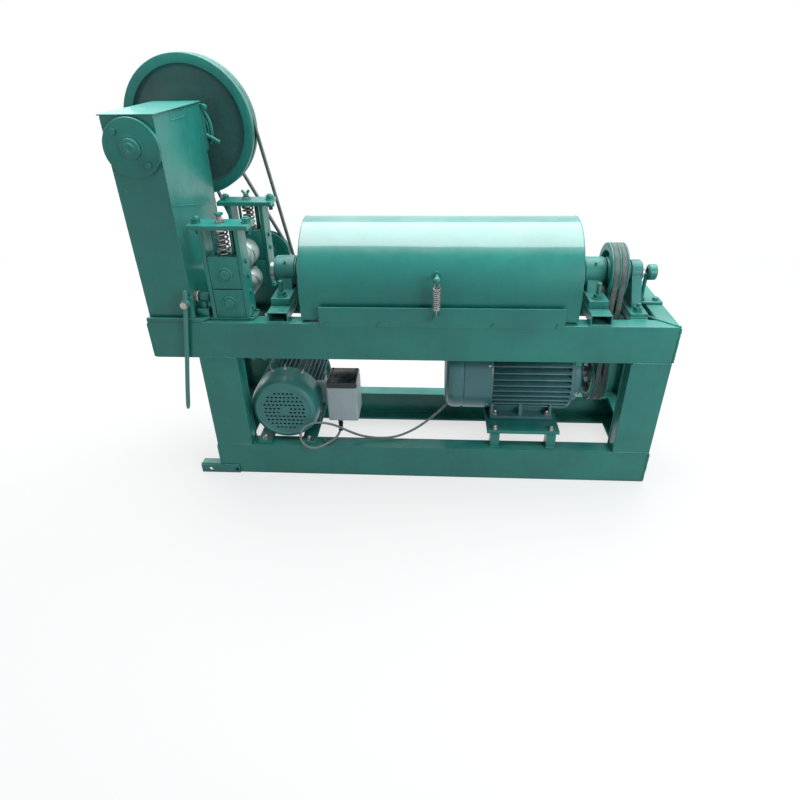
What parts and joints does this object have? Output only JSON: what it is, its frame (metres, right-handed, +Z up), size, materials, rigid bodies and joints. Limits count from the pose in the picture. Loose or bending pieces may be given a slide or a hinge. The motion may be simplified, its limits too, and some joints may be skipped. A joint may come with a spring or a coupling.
{
  "type": "wire straightening and cutting machine",
  "caption": "Free-standing wire straightening and cutting machine with a welded channel frame, hooded straightening drum, feed rollers, belt drives and a flywheel-driven cutting tower.",
  "frame": {"origin": "on the ground, under the middle of the machine's box", "axes": "+X along the machine from the cutting tower to the wire inlet, +Y from the front to the flywheel side, +Z up"},
  "size_m": [1.708, 0.554, 1.263],
  "materials": {
    "green_enamel": "glossy enamel over steel, teal green",
    "motor_enamel": "glossy enamel over cast iron, teal green",
    "block_enamel": "glossy enamel with bare machined edges",
    "machined_steel": "turned bright steel",
    "die_iron": "dark cast iron",
    "spring_steel": "drawn spring steel",
    "belt_rubber": "moulded wedge belt",
    "box_plastic": "terminal box, moulded",
    "cable_rubber": "cable sheath, grey"
  },
  "bodies": {
    "frame": {"top_rail_front": "green_enamel", "top_rail_back": "green_enamel", "top_end_rails": "green_enamel", "bottom_rail_front": "green_enamel", "bottom_rail_back": "green_enamel", "bottom_end_rails": "green_enamel", "legs_front": "green_enamel", "legs_back": "green_enamel", "foot_bracket": "green_enamel", "tower_base_plate": "green_enamel", "tower_housing": "green_enamel", "tower_top_cover": "green_enamel", "feed_stands": "green_enamel", "stand_top_plates": "green_enamel", "cross_tubes": "green_enamel", "drum_bearings": "green_enamel", "end_pedestal": "green_enamel", "hinge_bases": "green_enamel", "cover_apron": "green_enamel", "shaft_bearings": "green_enamel", "lever_bracket": "green_enamel", "motor_right_base": "green_enamel", "motor_left_bearers": "green_enamel", "motor_right": "motor_enamel", "motor_left": "motor_enamel", "wire_guide": "machined_steel", "pressure_screws": "machined_steel", "wire_eye": "machined_steel", "bearing_blocks_upper": "block_enamel", "bearing_blocks_lower": "block_enamel", "pressure_springs": "spring_steel", "main_belt": "belt_rubber", "feed_belt": "belt_rubber", "drum_belts": "belt_rubber", "motor_right_box": "box_plastic", "motor_left_box": "box_plastic", "cable": "cable_rubber"},
    "flywheel_shaft": {"flywheel": "green_enamel", "main_shaft": "machined_steel", "feed_drive_pulley": "green_enamel"},
    "motor_left_rotor": {"motor_left_shaft": "machined_steel", "motor_left_pulley": "green_enamel"},
    "feed_lower": {"feed_roller_lower": "machined_steel", "feed_pulley": "green_enamel"},
    "feed_upper": {"feed_roller_upper": "machined_steel"},
    "drum": {"drum_spindle": "machined_steel", "straightening_drum": "green_enamel", "straightening_dies": "die_iron", "drum_pulley": "green_enamel"},
    "motor_right_rotor": {"motor_right_shaft": "machined_steel", "motor_right_pulley": "green_enamel"},
    "cover": {"drum_cover": "green_enamel", "cover_ends": "green_enamel", "hinge_knuckles": "green_enamel", "cover_latch": "spring_steel"},
    "lever": {"trip_lever": "machined_steel"}
  },
  "joints": [
    {"name": "flywheel_spin", "type": "hinge", "parent": "frame", "child": "flywheel_shaft", "pos_m": [-0.648, -0.055, 1.057], "axis": [0, 1, 0], "continuous": true},
    {"name": "motor_left_spin", "type": "hinge", "parent": "frame", "child": "motor_left_rotor", "pos_m": [-0.352, -0.055, 0.238], "axis": [0, 1, 0], "continuous": true},
    {"name": "feed_lower_spin", "type": "hinge", "parent": "frame", "child": "feed_lower", "pos_m": [-0.468, -0.055, 0.624], "axis": [0, 1, 0], "continuous": true},
    {"name": "feed_upper_spin", "type": "hinge", "parent": "frame", "child": "feed_upper", "pos_m": [-0.468, -0.055, 0.712], "axis": [0, 1, 0], "continuous": true},
    {"name": "drum_spin", "type": "hinge", "parent": "frame", "child": "drum", "pos_m": [-0.026, -0.055, 0.668], "axis": [1, 0, 0], "continuous": true},
    {"name": "motor_right_spin", "type": "hinge", "parent": "frame", "child": "motor_right_rotor", "pos_m": [0.687, -0.045, 0.312], "axis": [1, 0, 0], "continuous": true},
    {"name": "cover_hinge", "type": "hinge", "parent": "frame", "child": "cover", "pos_m": [0.154, 0.138, 0.581], "axis": [-1, 0, 0], "range_deg": [0, 90]},
    {"name": "lever_swing", "type": "hinge", "parent": "frame", "child": "lever", "pos_m": [-0.588, -0.259, 0.635], "axis": [0, 1, 0], "range_deg": [-20, 20]}
  ],
  "couplings": [
    {"joint": "motor_left_spin", "follows": "flywheel_spin", "ratio": 3.3306},
    {"joint": "feed_lower_spin", "follows": "flywheel_spin", "ratio": 0.5918},
    {"joint": "feed_upper_spin", "follows": "flywheel_spin", "ratio": -0.5918},
    {"joint": "motor_right_spin", "follows": "drum_spin", "ratio": 0.9227}
  ]
}
